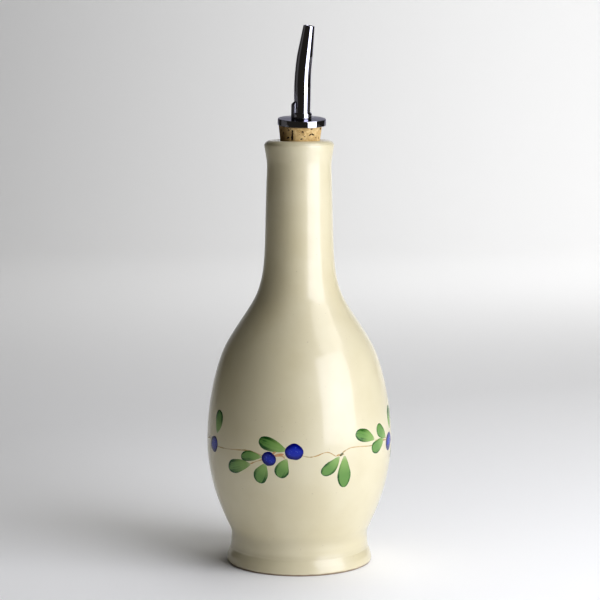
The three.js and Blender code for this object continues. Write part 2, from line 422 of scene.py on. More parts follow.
def glaze_finish(settings):
    """Cream glaze over stoneware, bare under the foot; its grooves darker, partly pooling, partly painted
    shade.
    """
    finish = Finish("cream_glaze")
    where = finish.coordinates()
    height = finish.axis(where, "Z")
    cloud = finish.ramp(finish.noise(where, 38, detail=3), 0.35, 0.68)
    cream = finish.mix(cloud, settings.glaze_colour, settings.glaze_shade)
    # The grooves are darkened: partly glaze that pools in them, partly painted shade in the creases.
    foot_groove = finish.band(height, 8.6 * MM, 2.4 * MM)
    waist_groove = finish.band(height, 16.5 * MM, 4.5 * MM)
    grooves = finish.times(finish.math("MAXIMUM", foot_groove, waist_groove), 0.16)
    pooled_and_shaded = finish.mix(grooves, cream, settings.pool_and_shade_colour)
    speck = finish.ramp(finish.noise(where, 820, detail=1), 0.765, 0.80, 0.0, 0.25)
    specked = finish.mix(speck, pooled_and_shaded, settings.clay_colour)
    # Below its ragged edge the dark clay colour is partly the real bare foot and partly painted contact
    # shadow.
    ragged = finish.times(finish.noise(where, 240), 0.6 * MM)
    edge = finish.math("SUBTRACT", height, ragged)
    bare = finish.ramp(edge, settings.bare_foot - 0.35 * MM, settings.bare_foot + 0.15 * MM, 1.0, 0.0)
    colour = finish.mix(bare, specked, settings.clay_colour)
    gloss = finish.ramp(finish.noise(where, 60, detail=4), 0.3, 0.7, 0.10, 0.17)
    roughness = finish.math("MAXIMUM", gloss, finish.times(bare, 0.8))
    rings = finish.noise(where, 46, detail=2, stretch=(0.12, 0.12, 1.0))
    soft = finish.relief(rings, 0.5 * MM)
    peel = finish.relief(finish.noise(where, 420, detail=1), 0.02 * MM, under=soft)
    finish.surface(
        Base_Color=colour, Roughness=roughness, Normal=peel, IOR=1.46, Coat_Weight=0.9, Coat_Roughness=0.5,
        Coat_IOR=1.8)
    return finish.material


class DRIZZLE_OT_bottle(bpy.types.Operator):
    """Makes the glazed bottle as one smooth turned shape."""

    bl_idname = "drizzle.bottle"
    bl_label = "Bottle"

    def execute(self, context):
        settings = context.scene.drizzle_bottle
        stopper = context.scene.drizzle_stopper
        wall = Wall(settings)
        crest_radius, crest = wall.outline[-1]
        mouth_radius = settings.mouth_radius
        mouth = smooth_line(
            [
                (crest_radius, crest),
                ((crest_radius + mouth_radius) / 2, crest - 0.25 * MM),
                (mouth_radius + 0.35 * MM, crest - 0.75 * MM),
                (mouth_radius, crest - 1.6 * MM),
            ], steps=4)
        underside = [
            (0.0, settings.recess_depth),
            (settings.recess_radius, settings.recess_depth),
            (settings.seat_radius, 0.0),
        ]
        floor = crest - settings.mouth_depth
        bore = [(mouth_radius - 1.7 * MM, floor), (0.0, floor)]
        bm = bmesh.new()
        turn_outline(bm, underside + wall.outline + mouth[1:] + bore, steps=192)
        foot_top, recess_middle = 1.4 * MM, settings.seat_radius * 0.4
        for vert in bm.verts:
            radius = math.hypot(vert.co.x, vert.co.y)
            if radius < crest_radius and vert.co.z > floor - MM:
                share = min(1.0, (crest_radius - radius) / (crest_radius - mouth_radius))
                below = max(0.0, stopper.lip_height - vert.co.z)
                vert.co.x += stopper.cork_offset * share - below * math.tan(stopper.lean_aside)
                vert.co.y += below * math.tan(stopper.lean_forward)
            elif vert.co.z > foot_top and radius > recess_middle:
                angle = math.atan2(vert.co.x, -vert.co.y)
                vert.co.xy *= 1 + wall.stray(angle, vert.co.z) / radius
        finish_piece(bm, "bottle_glaze", glaze_finish(settings), replaced=["bottle"])
        return {"FINISHED"}


# The painted vine

# A leaf is one brush stroke: its thin end's angle round the bottle in degrees and height in mm, the
# direction it runs in, from the right and upwards, its length and width in mm, and its tone from 0,
# pale, to 1, dark. A berry is its middle, its width and its tone. The angles of a repeat are counted
# from the front, where it begins at the left berry and ends at the right one. The last repeat has no
# leaves past LAST_LEAF.
REPEAT_START = -65.9
LAST_LEAF = 50
REPEAT_END = 74.2
LEAVES = (
    (-61.8, 71.5, 84, 12.9, 8.6, 0.95),
    (-6.4, 67.4, 162, 16.6, 8.0, 1.00),
    (-22.2, 63.7, 184, 13.2, 6.1, 0.55),
    (-29.8, 59.6, 194, 16.6, 8.2, 0.95),
    (-20.3, 61.2, 246, 12.0, 8.6, 0.75),
    (-7.0, 64.0, 247, 11.2, 8.2, 0.55),
    (25.5, 64.6, 224, 13.6, 7.3, 0.42),
    (28.4, 65.2, 272, 17.8, 8.4, 0.28),
    (54.0, 69.5, 160, 15.6, 7.6, 0.80),
    (68.6, 68.6, 143, 12.8, 7.6, 0.10),
    (65.2, 69.4, 201, 13.4, 8.0, 0.40),
)
BERRIES = (
    (-18.6, 63.1, 7.8, 0.50),
    (-3.0, 67.2, 9.5, 0.20),
    (74.2, 66.1, 10.3, 0.45),
)
VINE = (
    (-65.9, 66.3), (-60.0, 65.4), (-50.0, 65.5), (-40.0, 66.1), (-33.0, 66.5), (-27.5, 65.9), (-22.8, 64.6),
    (-18.8, 63.6), (-14.4, 64.8), (-9.0, 65.0), (-3.0, 66.0), (2.2, 65.1), (6.5, 64.5), (10.8, 65.1),
    (14.5, 66.3), (17.5, 66.6), (20.0, 65.7), (22.5, 64.4), (25.5, 64.9), (28.5, 66.6), (33.0, 67.9),
    (40.0, 67.8), (48.5, 67.2), (57.0, 67.2), (66.0, 67.9), (74.2, 66.1),
)
STALKS = (
    ((-31.0, 59.7), (-27.0, 61.2), (-21.5, 62.9)),
    ((-8.5, 63.8), (-10.5, 64.8), (-14.4, 65.4)),
    ((23.0, 64.6), (25.6, 65.2), (28.0, 64.9)),
    ((54.0, 69.4), (60.0, 68.4), (66.0, 68.2)),
    ((65.5, 69.2), (69.0, 68.4), (72.5, 67.2)),
)
# Small dabs on the vine, as middle, direction, length, width and tone from 0, orange, to 1, olive.
DABS = (
    (-12.2, 65.4, 12, 5.4, 1.7, 0.0),
    (-15.0, 66.6, 40, 3.0, 1.2, 0.15),
    (26.3, 65.0, 35, 2.6, 1.5, 1.0),
)
REPEATS = 3
# The mesh of a stroke and of a line, and how far a stroke's edge strays, as a share of its half width.
STROKE_STEPS, STROKE_ROWS, LINE_ROWS = 22, 12, 4
RAGGED_EDGE = 0.16


def around_bottle(angle, turn):
    """Carries an angle of the front repeat to another one, which is a little shorter."""
    front = REPEAT_END - REPEAT_START
    if turn == 0:
        return angle
    others = (360.0 - front) / (REPEATS - 1)
    return REPEAT_END + others * (turn - 1 + (angle - REPEAT_START) / front)


class Brush:
    """Lays thin strokes of paint on the wall, each a domed patch whose rim dips into the glaze."""

    def __init__(self, wall, lift):
        self.wall = wall
        self.lift = lift
        self.bm = bmesh.new()
        self.bm.loops.layers.uv.new("UVMap")
        self.tone = self.bm.verts.layers.float.new("tone")

    def patch(self, steps, rows, place, tone):
        """Adds a patch. place turns a share along it and one across it, -1 to 1, into a point."""
        made = bmesh.ops.create_grid(self.bm, x_segments=steps, y_segments=rows, size=0.5, calc_uvs=True)
        for vert in made["verts"]:
            along, across = vert.co.x + 0.5, 2 * vert.co.y
            vert.co = place(along, across)
            vert[self.tone] = tone

    def point(self, angle, height, right, up, lift):
        """The wall point that lies so far to the right and up from an angle in degrees and height."""
        across = math.radians(angle) + right / self.wall.radius(height)
        return self.wall.place(across, height + up, lift)

    def thickness(self, along, across):
        """Paint is thickest in the middle of a stroke and dips under the glaze at its rim."""
        sunk, taper = 0.06 * MM, 7
        body = (1 - across ** 4) * min(1.0, taper * along, taper * (1 - along))
        return -sunk + (self.lift + sunk) * max(0.0, body) ** 0.5

    def stroke(self, angle, height, direction, length, width_at, spread, bend, tone):
        """A stroke whose half width follows width_at, bent to one side by a part of its length."""
        run = heading(direction)
        side = Vector((-run.y, run.x))

        def place(share, across):
            along = spread(share)
            bow = bend * length * (along - along * along) * 4
            rim = noise.noise(Vector((along * 2.6, math.copysign(3.0, across), angle + height * 700)))
            aside = across * width_at(along) * (1 + RAGGED_EDGE * rim) + bow
            spot = run * (along * length) + side * aside
            return self.point(angle, height, spot.x, spot.y, self.thickness(share, across))

        self.patch(STROKE_STEPS, STROKE_ROWS, place, tone)

    def dab(self, angle, height, direction, length, width, bend, tone):
        """A round dab with its middle at an angle in degrees and a height."""
        start = heading(direction) * (-length / 2)
        self.stroke(
            angle + math.degrees(start.x / self.wall.radius(height)), height + start.y, direction, length,
            round_half_width(width), lambda share: (1 - math.cos(math.pi * share)) / 2, bend, tone)

    def line(self, points, width, tone, steps_each=8):
        """A thin line through places given as angle in degrees and height in metres."""
        route = smooth_line(points, steps_each)

        def place(share, across):
            at = share * (len(route) - 1)
            first = min(int(at), len(route) - 2)
            here, ahead = Vector(route[first]), Vector(route[first + 1])
            spot = here.lerp(ahead, at - first)
            scale = self.wall.radius(spot.y) * math.pi / 180
            run = Vector(((ahead.x - here.x) * scale, ahead.y - here.y)).normalized()
            swell = 0.75 + 0.5 * noise.noise(Vector((at * 0.35, tone * 9.0, 1.7)))
            half = width / 2 * swell
            return self.point(
                spot.x, spot.y, -run.y * across * half, run.x * across * half,
                self.thickness(0.5, across) * 0.8)

        self.patch(len(route) * 2, LINE_ROWS, place, tone)

    def finish(self, name, material):
        """Gives the patches their thickness and makes them a piece."""
        bm = self.bm
        bmesh.ops.remove_doubles(bm, verts=bm.verts, dist=1e-6)
        bmesh.ops.recalc_face_normals(bm, faces=bm.faces)
        for face in list(bm.faces):
            middle = face.calc_center_median()
            if face.normal.x * middle.x + face.normal.y * middle.y < 0:
                face.normal_flip()
        bmesh.ops.solidify(bm, geom=bm.faces[:], thickness=0.15 * MM)
        return finish_piece(bm, name, material, crease=math.radians(60))


def leaf_half_width(width):
    """A teardrop: a thin point at the stem, widest past the middle and round at the end."""
    point_power, round_power = 1.05, 0.52
    widest = point_power / (point_power + round_power)
    most = widest ** point_power * (1 - widest) ** round_power
    return lambda along: width / 2 * along ** point_power * max(0.0, 1 - along) ** round_power / most


def round_half_width(width):
    """A round dab of the brush."""
    return lambda along: width / 2 * math.sqrt(max(0.0, 1 - (2 * along - 1) ** 2))


def leaf_finish(paint, bottle):
    """Green brush strokes: dark where the brush was pressed and at the rim, pale towards the stem."""
    finish = Finish("leaf_paint")
    stroke = finish.stroke()
    along, across = finish.axis(stroke, "X"), finish.axis(stroke, "Y")
    tone = finish.attribute("tone")
    own = finish.node("ShaderNodeVectorMath", {0: stroke, 1: finish.times(tone, 40.0)}, operation="ADD")
    hairs = finish.noise(own.outputs["Vector"], 1.0, detail=3, stretch=(1.3, 9.0, 1.0))
    patches = finish.noise(finish.coordinates(), 260, detail=2)
    edge = finish.ramp(finish.distance(across, 0.5), 0.15, 0.48)
    tip = finish.ramp(along, 0.55, 1.0, -0.15, 0.45)
    press = finish.add(finish.times(edge, 1.05), tip)
    press = finish.add(press, finish.sway(hairs, 2.2))
    press = finish.add(press, finish.sway(patches))
    pressed = finish.ramp(finish.add(press, finish.sway(tone, 0.7)), 0.0, 0.95)
    green = finish.mix(pressed, paint.leaf_middle, paint.leaf_dark)
    pale_part = finish.math("SUBTRACT", along, finish.times(tone, 0.16))
    lifted = finish.ramp(pale_part, 0.02, 0.42, 0.85, 0.0)
    faded = finish.mix(lifted, green, paint.leaf_pale)
    bare = finish.ramp(along, 0.0, 0.14, 0.45, 0.0)
    colour = finish.mix(bare, faded, bottle.glaze_colour)
    finish.surface(
        Base_Color=colour, Roughness=finish.ramp(patches, 0.3, 0.7, 0.10, 0.17), IOR=1.52,
        Normal=finish.relief(hairs, 0.03 * MM))
    return finish.material


def berry_finish(paint):
    """Cobalt dabs: deep at the rim, clearer in the middle, with a few painted glints of pale blue there."""
    finish = Finish("berry_paint")
    where = finish.coordinates()
    centred = finish.node(
        "ShaderNodeVectorMath", {0: finish.stroke(), 1: (0.56, 0.5, 0.0)}, operation="DISTANCE",
    ).outputs["Value"]
    wash = finish.noise(where, 300, detail=3)
    depth = finish.add(finish.ramp(centred, 0.12, 0.5), finish.sway(wash))
    depth = finish.add(depth, finish.sway(finish.attribute("tone"), 0.6, middle=0.4))
    blue = finish.mix(finish.ramp(depth, -0.1, 0.9), paint.berry_light, paint.berry_dark)
    # Pale blue specks in the middle are painted glints, a painted highlight.
    painted_glint = finish.ramp(finish.noise(where, 1100, detail=1), 0.62, 0.72, 0.0, 0.6)
    inside = finish.ramp(centred, 0.12, 0.36, 1.0, 0.0)
    glint_blue = (0.16, 0.26, 0.62)
    colour = finish.mix(finish.times(painted_glint, inside), blue, glint_blue)
    finish.surface(
        Base_Color=colour, Roughness=finish.ramp(wash, 0.3, 0.7, 0.09, 0.15), IOR=1.52,
        Normal=finish.relief(wash, 0.04 * MM))
    return finish.material


def stem_finish(paint, bottle):
    """A thin tan line that the glaze shows through here and there, with orange and olive dabs."""
    finish = Finish("stem_paint")
    pale_tan, orange, olive = (0.54, 0.35, 0.14), (0.62, 0.26, 0.10), (0.07, 0.09, 0.03)
    where = finish.coordinates()
    worn = finish.ramp(finish.noise(where, 170, detail=3), 0.42, 0.68, 0.0, 0.4)
    colour = finish.mix(finish.ramp(finish.noise(where, 60), 0.4, 0.6), paint.stem_colour, pale_tan)
    tone = finish.attribute("tone")
    colour = finish.mix(finish.ramp(tone, 0.0, 0.5, 0.8, 0.0), colour, orange)
    colour = finish.mix(finish.ramp(tone, 0.5, 1.0, 0.0, 0.9), colour, olive)
    colour = finish.mix(worn, colour, bottle.glaze_colour)
    finish.surface(Base_Color=colour, Roughness=finish.ramp(worn, 0.0, 0.8, 0.16, 0.11), IOR=1.52)
    return finish.material


class DRIZZLE_OT_leaves(bpy.types.Operator):
    """Paints the green leaves round the belly."""

    bl_idname = "drizzle.leaves"
    bl_label = "Painted Leaves"

    def execute(self, context):
        paint, bottle = context.scene.drizzle_paint, context.scene.drizzle_bottle
        brush = Brush(Wall(bottle), paint.lift)
        draw = random.Random(paint.seed)
        for turn in range(REPEATS):
            loose = 0.0 if turn == 0 else 1.0
            for angle, height, direction, length, width, tone in LEAVES:
                swing = draw.uniform(-9, 9) * loose
                grow = 1 + draw.uniform(-0.1, 0.1) * loose
                shade = min(1.0, max(0.0, tone + draw.uniform(-0.25, 0.25) * loose))
                bend = draw.uniform(-0.07, 0.07)
                if turn == REPEATS - 1 and angle > LAST_LEAF:
                    continue
                brush.stroke(
                    around_bottle(angle, turn), height * MM, math.radians(direction + swing),
                    length * grow * MM, leaf_half_width(width * grow * MM),
                    lambda share: 1 - (1 - share) ** 1.7, bend, shade)
        brush.finish("painted_leaves", leaf_finish(paint, bottle))
        return {"FINISHED"}


class DRIZZLE_OT_berries(bpy.types.Operator):
    """Paints the blue berries."""

    bl_idname = "drizzle.berries"
    bl_label = "Painted Berries"

    def execute(self, context):
        paint, bottle = context.scene.drizzle_paint, context.scene.drizzle_bottle
        brush = Brush(Wall(bottle), paint.lift * 1.6)
        draw = random.Random(paint.seed + 51)
        for turn in range(REPEATS):
            loose = 0.0 if turn == 0 else 1.0
            for angle, height, width, tone in BERRIES:
                size = width * (1 + draw.uniform(-0.12, 0.12) * loose) * MM
                direction = draw.uniform(-0.6, 0.6)
                across = size * draw.uniform(0.94, 1.02)
                bend = draw.uniform(-0.02, 0.02)
                middle = around_bottle(angle, turn)
                brush.dab(middle, height * MM, direction, size, across, bend, tone)
        brush.finish("painted_berries", berry_finish(paint))
        return {"FINISHED"}


class DRIZZLE_OT_vine(bpy.types.Operator):
    """Paints the thin line that joins leaves and berries."""

    bl_idname = "drizzle.vine"
    bl_label = "Painted Vine"

    def execute(self, context):
        paint, bottle = context.scene.drizzle_paint, context.scene.drizzle_bottle
        brush = Brush(Wall(bottle), paint.lift * 0.5)
        for turn in range(REPEATS):
            for points in (VINE, *STALKS):
                route = [(around_bottle(angle, turn), height * MM) for angle, height in points]
                brush.line(route, paint.stem_width, tone=0.5)
            for angle, height, direction, length, width, tone in DABS:
                brush.dab(
                    around_bottle(angle, turn), height * MM, math.radians(direction), length * MM,
                    width * MM, 0.0, tone)
        brush.finish("painted_vine", stem_finish(paint, bottle))
        return {"FINISHED"}


# Cork

# Cracks that show in the cork, as angle from the front in degrees, height in mm, length and width in
# mm, lean from upright in degrees, and depth as a share of the deepest pit.
CORK_CRACKS = (
    (-23.6, 225.2, 4.4, 1.25, 3, 1.0),
    (-22.0, 227.6, 3.2, 0.75, -6, 1.0),
    (-33.0, 228.6, 1.4, 0.7, -30, 0.6),
    (-38.0, 224.6, 2.2, 0.9, 70, 0.7),
    (-55.0, 226.6, 2.6, 0.9, 15, 0.6),
    (-66.0, 228.0, 1.8, 0.7, -25, 0.6),
    (7.4, 228.0, 1.9, 0.5, -23, 0.8),
    (3.0, 224.3, 1.5, 0.6, 45, 0.6),
    (12.0, 225.6, 0.9, 0.5, 60, 0.4),
    (28.7, 226.4, 2.0, 0.65, 50, 0.9),
    (37.6, 226.4, 2.4, 0.65, -60, 0.9),
    (32.0, 229.3, 1.4, 0.6, 88, 0.7),
    (50.0, 224.6, 1.2, 0.5, 30, 0.5),
)
# Random cracks behind, and small pits all round: how many, and the ranges of the angle in degrees, the
# distance below the cork's top, half the length and half the width in mm, the lean in radians and the depth.
RANDOM_CRACKS = (
    (34, (60, 300), (7, 0.3), (0.3, 1.4), (0.2, 0.5), (-1.2, 1.2), (0.4, 1.0)),
    (60, (0, 360), (7, 0.2), (0.15, 0.35), (0.12, 0.25), (-1.2, 1.2), (0.25, 0.5)),
)
CRACK_SEED = 41
CRACK_REACH = 2.6 * MM
# Degrees round the cork in each part that is searched for cracks.
SECTOR = 10


class DRIZZLE_OT_cork(bpy.types.Operator):
    """Makes the cork, with its pits and cracks sunk in the mesh."""

    bl_idname = "drizzle.cork"
    bl_label = "Cork"

    def execute(self, context):
        settings = context.scene.drizzle_stopper
        middle = settings.cork_offset
        wall = outward_wall("cork", middle, lean_matrix(settings))
        low, high = wall[0][1], wall[-1][1]
        outline = [(0.0, low)] + self.fine(wall, settings.lip_height - MM) + [(0.0, high)]
        bm = bmesh.new()
        turn_outline(bm, outline, steps=220)
        pit_layer = bm.verts.layers.float.new("pit")
        sectors = self.sectors(self.cracks(high), wall[-1][0])
        core, bumps = 2 * MM, 0.05 * MM
        for vert in bm.verts:
            radius = math.hypot(vert.co.x, vert.co.y)
            if radius < core:
                continue
            angle = math.atan2(vert.co.x, -vert.co.y)
            near = sectors[int(math.degrees(angle) % 360 / SECTOR) % len(sectors)]
            depth = self.pit(near, angle, vert.co.z, radius)
            rough = bumps * noise.noise(vert.co * 900)
            vert.co.xy *= 1 - (depth * settings.pit_depth - rough) / radius
            vert[pit_layer] = depth
        set_in_neck(bm, settings, (middle, 0, 0))
        finish_piece(bm, "cork_stopper", cork_finish(settings), replaced=["cork"])
        return {"FINISHED"}

    def fine(self, wall, shown):
        """The cork's outline with many rows above the height from which it shows, and few below."""
        line = []
        for start, end in zip(wall, wall[1:]):
            pitch = 0.14 * MM if end[1] > shown else 2 * MM
            steps = max(1, round(math.hypot(end[0] - start[0], end[1] - start[1]) / pitch))
            line += divided(start, end, steps)
        return line + [wall[-1]]

    def sectors(self, cracks, radius):
        """For each sector round the cork, the cracks that may reach into it."""
        reach = math.degrees(CRACK_REACH / radius) + SECTOR / 2
        found = []
        for index in range(360 // SECTOR):
            middle = (index + 0.5) * SECTOR
            near = [c for c in cracks if abs((math.degrees(c[0]) - middle + 180) % 360 - 180) < reach]
            found.append(near)
        return found

    def cracks(self, high):
        """The cracks that show, and random ones round the cork, in radians and metres."""
        draw = random.Random(CRACK_SEED)
        found = [
            (math.radians(angle), height * MM, length * MM / 2, width * MM / 2, math.radians(lean), depth)
            for angle, height, length, width, lean, depth in CORK_CRACKS
        ]
        for count, *ranges in RANDOM_CRACKS:
            for _ in range(count):
                angle, below, length, width, lean, depth = [draw.uniform(*limits) for limits in ranges]
                found.append((math.radians(angle), high - below * MM, length * MM, width * MM, lean, depth))
        return found

    def pit(self, cracks, angle, height, radius):
        """How deep the cork is pitted here, from 0 to 1."""
        deepest = 0.0
        for crack_angle, crack_height, half_length, half_width, lean, depth in cracks:
            up = height - crack_height
            if abs(up) > CRACK_REACH:
                continue
            side = math.remainder(angle - crack_angle, 2 * math.pi) * radius
            ragged = 0.25 * MM * noise.noise(Vector((angle * radius, height, crack_angle)) * 1100)
            along = (up * math.cos(lean) + side * math.sin(lean)) / half_length
            across = (side * math.cos(lean) - up * math.sin(lean) + ragged) / half_width
            inside = 1 - along * along - across * across
            if inside > 0:
                deepest = max(deepest, depth * min(1.0, 1.6 * inside))
        return deepest


def cork_finish(settings):
    """Cork bark: mottled grain with dark pits, and painted shade on its left side."""
    finish = Finish("cork_bark")
    where = finish.coordinates()
    grain = finish.noise(where, 700, detail=5, roughness=0.65)
    mottle = finish.noise(where, 210, detail=3)
    share = finish.add(finish.times(grain, 0.6), finish.times(mottle, 0.4))
    bark = finish.mix(finish.ramp(share, 0.36, 0.62), settings.cork_dark, settings.cork_light)
    flake = finish.ramp(finish.noise(where, 1300, detail=2), 0.62, 0.72, 0.0, 0.6)
    flaked = finish.mix(flake, bark, settings.cork_dark)
    # Painted shade: the bark darkens towards the left, with a mottled edge.
    drift = finish.add(finish.axis(where, "X"), finish.times(mottle, 5 * MM))
    side_shade = finish.ramp(drift, -6 * MM, 2 * MM, 0.9, 0.0)
    side_shaded = finish.mix(side_shade, flaked, settings.side_shade_colour)
    pit = finish.ramp(finish.attribute("pit"), 0.05, 0.45)
    colour = finish.mix(pit, side_shaded, settings.pit_colour)
    finish.surface(
        Base_Color=colour, Roughness=finish.ramp(grain, 0.3, 0.7, 0.75, 0.95),
        Normal=finish.relief(grain, 0.25 * MM))
    return finish.material


# Pourer

def chrome_finish(settings, dull=0.0, shade=1.0):
    """Polished chrome with faint wiping marks, or duller plating where the wheel can't reach; shade darkens
    it as painted shade.
    """
    finish = Finish("polished_chrome")
    where = finish.coordinates()
    wipe = finish.noise(where, 90, detail=4, stretch=(1.0, 1.0, 0.35))
    haze = finish.ramp(wipe, 0.35, 0.75, 0.02 + dull, 0.06 + dull)
    first = [shade * part for part in settings.chrome_colour]
    second = [shade * part for part in (0.62, 0.62, 0.68)]
    tint = finish.mix(finish.noise(where, 30), first, second)
    dents = finish.noise(where, 130, detail=1)
    finish.surface(
        Base_Color=tint, Metallic=1.0, Roughness=haze, Specular_Tint=(0.35, 0.35, 0.40, 1.0),
        Normal=finish.relief(dents, 0.006 * MM))
    return finish.material


class DRIZZLE_OT_flange(bpy.types.Operator):
    """Makes the pourer's round disc with its dome and collar."""

    bl_idname = "drizzle.flange"
    bl_label = "Pourer Flange"

    def execute(self, context):
        settings = context.scene.drizzle_stopper
        wall = outward_wall("pourer_flange", settings.pourer_offset, lean_matrix(settings))
        low, high = wall[0][1], wall[-1][1]
        hole = settings.spout_radius - 0.3 * MM
        radius, crisp = wall[1][0], 0.15 * MM
        under = [(hole, low), (radius - crisp, low), (radius, low + crisp)]
        dome = smooth_line(wall[3:], steps=3)[1:]
        bm = bmesh.new()
        turn_outline(bm, under + self.rounded(wall[2:4]) + dome + [(hole, high), (hole, low)], steps=128)
        set_in_neck(bm, settings, (settings.pourer_offset, 0, 0))
        finish_piece(bm, "pourer_disc", chrome_finish(settings), replaced=["pourer_flange"])
        return {"FINISHED"}

    def rounded(self, chamfer):
        """A round edge in place of the chamfer at the rim's top."""
        first, last = chamfer
        corner = (first[0], last[1])
        steps = 6
        line = []
        for step in range(steps + 1):
            t = step / steps
            line.append(tuple(
                (1 - t) ** 2 * first[k] + 2 * t * (1 - t) * corner[k] + t * t * last[k] for k in (0, 1)))
        return line


class Spout:
    """The line that the spout's middle follows, upright at first and then bending over to +X."""

    def __init__(self, settings):
        self.settings = settings
        self.bend_length = settings.kink_height - settings.bend_start
        self.bend_radius = self.bend_length / settings.bend

    def bent(self, spot):
        """Moves a point of the straight tube to its place on the bent one."""
        past = max(0.0, spot.z - self.settings.bend_start)
        angle = self.settings.bend * min(past, self.bend_length) / self.bend_length
        straight = max(0.0, past - self.bend_length)
        shift = self.bend_radius * (1 - math.cos(angle)) + straight * math.sin(angle)
        rise = self.bend_radius * math.sin(angle) + straight * math.cos(angle)
        height = min(spot.z, self.settings.bend_start) + rise
        return Vector((shift + spot.x * math.cos(angle), spot.y, height - spot.x * math.sin(angle)))

    def outline(self, low):
        """The tube's outline, open at both ends, with a rounded tip."""
        settings = self.settings
        wall = 0.2 * MM
        outside = [
            (settings.spout_radius, low),
            (settings.spout_radius, settings.bend_start),
            (settings.kink_radius, settings.kink_height),
        ]
        outer = self.fine(outside + [(settings.tip_radius, settings.tip_height - wall)], 0.35 * MM)
        tip = [
            (settings.tip_radius - 0.04 * MM, settings.tip_height - 0.08 * MM),
            (settings.tip_radius - 0.14 * MM, settings.tip_height),
            (settings.tip_bore + 0.1 * MM, settings.tip_height),
            (settings.tip_bore, settings.tip_height - 0.12 * MM),
        ]
        inner = self.fine([(settings.tip_bore, settings.tip_height - wall), (2.4 * MM, low)], 2 * MM)
        return outer + tip + inner + [outer[0]]

    def fine(self, points, pitch):
        """The same line with a point at every pitch of height."""
        line = []
        for start, end in zip(points, points[1:]):
            line += divided(start, end, max(1, round(abs(end[1] - start[1]) / pitch)))
        return line + [points[-1]]


class DRIZZLE_OT_spout(bpy.types.Operator):
    """Makes the bent, tapered tube, with the hollow pressed in above the air vent."""

    bl_idname = "drizzle.spout"
    bl_label = "Pourer Spout"

    def execute(self, context):
        settings = context.scene.drizzle_stopper
        spout = Spout(settings)
        low = outward_wall("pourer_spout", settings.pourer_offset, lean_matrix(settings))[0][1]
        bm = bmesh.new()
        turn_outline(bm, spout.outline(low), steps=72)
        facing = heading(settings.vent_turn)
        for vert in bm.verts:
            self.press_hollow(vert, settings, facing)
            vert.co = spout.bent(vert.co)
        set_in_neck(bm, settings, (settings.pourer_offset, 0, 0))
        finish_piece(bm, "pourer_tube", chrome_finish(settings), replaced=["pourer_spout"])
        return {"FINISHED"}

    def press_hollow(self, vert, settings, facing):
        """Presses in the tube's side above the vent, deepest at the vent and running out upwards."""
        rise, depth = 6.6 * MM, 0.75 * MM
        lowest, bore = -0.4, settings.spout_radius * 0.8
        outward = vert.co.xy.dot(facing)
        up = (vert.co.z - settings.vent_top) / rise
        if outward <= 0 or up > 1 or up < lowest or vert.co.xy.length < bore:
            return
        limit = settings.spout_radius - depth * (1 - up if up > 0 else 1)
        if outward > limit:
            vert.co.xy -= facing * (outward - limit)


class DRIZZLE_OT_vent(bpy.types.Operator):
    """Makes the short vent tube with its slanted opening."""

    bl_idname = "drizzle.vent"
    bl_label = "Air Vent"

    def execute(self, context):
        settings = context.scene.drizzle_stopper
        radius, bore, top = settings.vent_radius, settings.vent_bore, settings.vent_top
        length, depth, pressed_in = 9.2 * MM, 4 * MM, 0.25 * MM
        low = top - length
        outline = [
            (0.0, low), (radius, low), (radius, top - 2 * MM), (radius, top - 0.15 * MM),
            (radius - 0.12 * MM, top), (bore + 0.08 * MM, top), (bore, top - 0.12 * MM),
            (bore, top - depth), (0.0, top - depth),
        ]
        bm = bmesh.new()
        turn_outline(bm, outline, steps=40)
        slant = math.tan(math.radians(35))
        for vert in bm.verts:
            if vert.co.z > top - MM:
                vert.co.z -= vert.co.x * slant
        turned = Matrix.Rotation(settings.vent_turn, 3, "Z")
        bmesh.ops.rotate(bm, verts=bm.verts, cent=(0, 0, 0), matrix=turned)
        aside = heading(settings.vent_turn) * (settings.vent_reach - pressed_in)
        set_in_neck(bm, settings, (settings.pourer_offset + aside.x, aside.y, 0))
        # The vent's chrome is rougher, and darkened to 0.4 as painted shade.
        dull_shaded_chrome = chrome_finish(settings, dull=0.33, shade=0.4)
        finish_piece(bm, "vent_tube", dull_shaded_chrome, replaced=["air_vent"])
        return {"FINISHED"}


# Stage

def pale_finish(settings):
    """Matt pale paper for floor and backdrop."""
    finish = Finish("pale_paper")
    where = finish.coordinates()
    fibre = finish.noise(where, 900, detail=2)
    tint = [0.97 * part for part in settings.floor_colour]
    finish.surface(
        Base_Color=finish.mix(fibre, settings.floor_colour, tint), Roughness=0.75,
        Specular_IOR_Level=0.25)
    return finish.material


